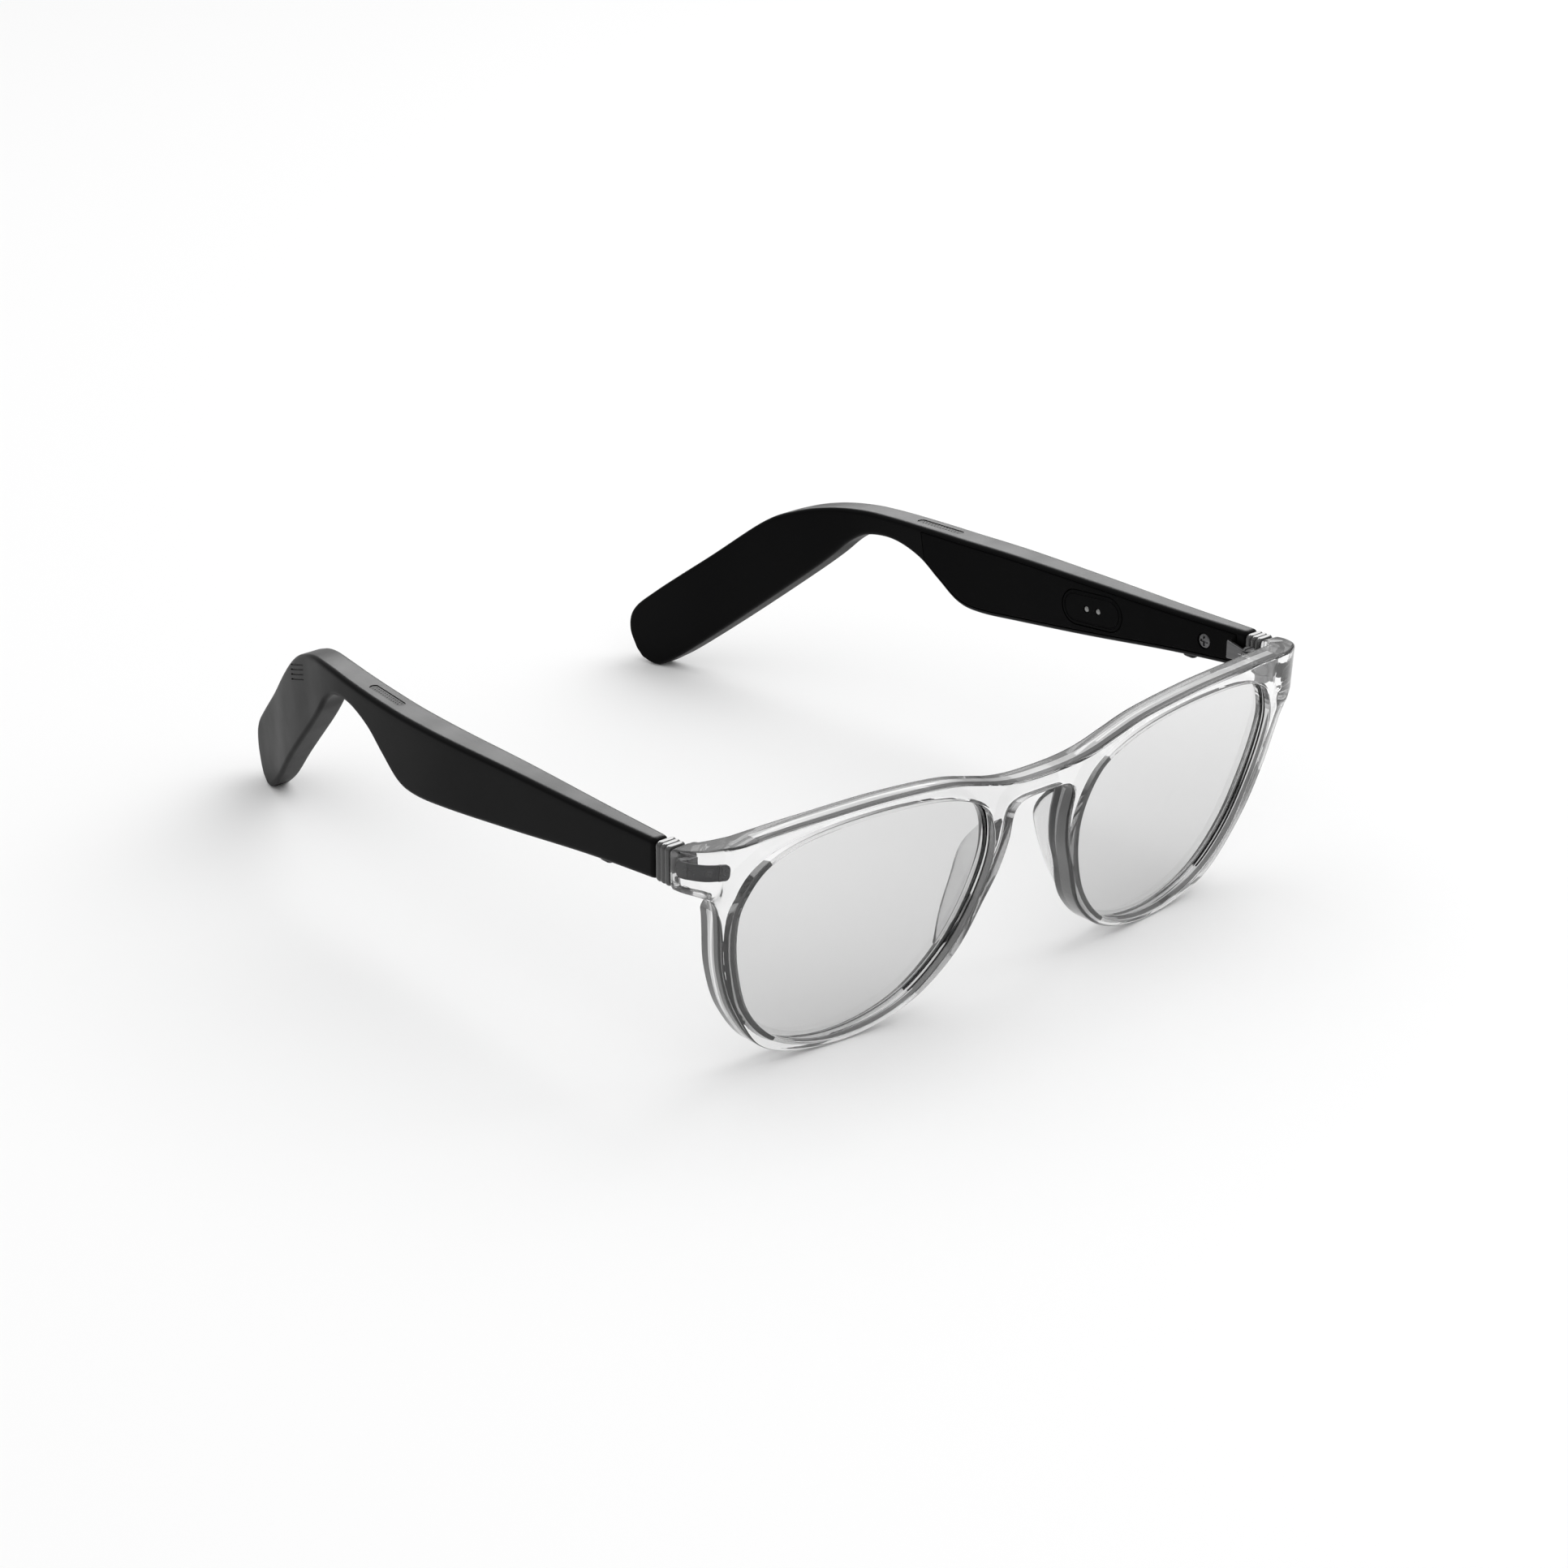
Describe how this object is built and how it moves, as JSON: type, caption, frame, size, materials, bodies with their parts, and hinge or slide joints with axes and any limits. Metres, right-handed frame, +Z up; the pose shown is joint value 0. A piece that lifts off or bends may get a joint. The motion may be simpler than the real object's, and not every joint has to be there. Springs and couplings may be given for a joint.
{
  "type": "smart glasses",
  "caption": "Audio smart glasses: a clear front with lenses and nose pads, and black electronics temples that fold on metal hinges and carry a charging port and an underside button.",
  "frame": {"origin": "on the surface that the open glasses stand on, below the middle of their box", "axes": "+X to the wearer's left, +Y from the lenses back along the temples, +Z up"},
  "size_m": [0.1406, 0.168, 0.0474],
  "materials": {
    "clear_frame": "polished clear plastic",
    "lens": "clear, faint grey",
    "temple_black": "satin black moulded plastic",
    "inner_black": "fine matte black",
    "button_black": "smooth black",
    "grille": "acoustic mesh",
    "steel": "turned and stamped steel",
    "dark_metal": "dark plated steel",
    "contact": "bright plated contact",
    "board": "circuit board lacquer",
    "cell": "foil pouch"
  },
  "bodies": {
    "front": {"front_frame": "clear_frame", "lens_left": "lens", "lens_right": "lens", "nose_pad_left": "clear_frame", "nose_pad_right": "clear_frame", "front_hinge_left": "dark_metal", "front_hinge_right": "dark_metal", "hinge_screw_left": "steel", "hinge_screw_right": "steel"},
    "temple_left": {"temple_hinge_left": "steel", "hinge_collar_left": "clear_frame", "temple_shell_left": "temple_black", "temple_cover_left": "inner_black", "cover_screw_left": "steel", "charging_port_left": "inner_black", "charging_pin_front_left": "contact", "charging_pin_rear_left": "contact", "speaker_grille_left": "grille", "button_switch_left": "steel", "circuit_board_left": "board", "battery_left": "cell", "speaker_left": "dark_metal", "microphone_left": "steel"},
    "temple_right": {"temple_hinge_right": "steel", "hinge_collar_right": "clear_frame", "temple_shell_right": "temple_black", "temple_cover_right": "inner_black", "cover_screw_right": "steel", "charging_port_right": "inner_black", "charging_pin_front_right": "contact", "charging_pin_rear_right": "contact", "speaker_grille_right": "grille", "button_switch_right": "steel", "circuit_board_right": "board", "battery_right": "cell", "speaker_right": "dark_metal", "microphone_right": "steel"},
    "button_left": {"action_button_left": "button_black"},
    "button_right": {"action_button_right": "button_black"}
  },
  "joints": [
    {"name": "temple_left_fold", "type": "hinge", "parent": "front", "child": "temple_left", "pos_m": [0.0644, -0.06836, 0.0405], "axis": [0, 0, 1], "range_deg": [0, 84]},
    {"name": "temple_right_fold", "type": "hinge", "parent": "front", "child": "temple_right", "pos_m": [-0.0644, -0.06836, 0.0405], "axis": [0, 0, -1], "range_deg": [0, 58]},
    {"name": "button_left_press", "type": "slide", "parent": "temple_left", "child": "button_left", "axis": [0, 0, 1], "range_m": [0, 0.0004], "stiffness_N_per_m": 400},
    {"name": "button_right_press", "type": "slide", "parent": "temple_right", "child": "button_right", "axis": [0, 0, 1], "range_m": [0, 0.0004], "stiffness_N_per_m": 400}
  ]
}
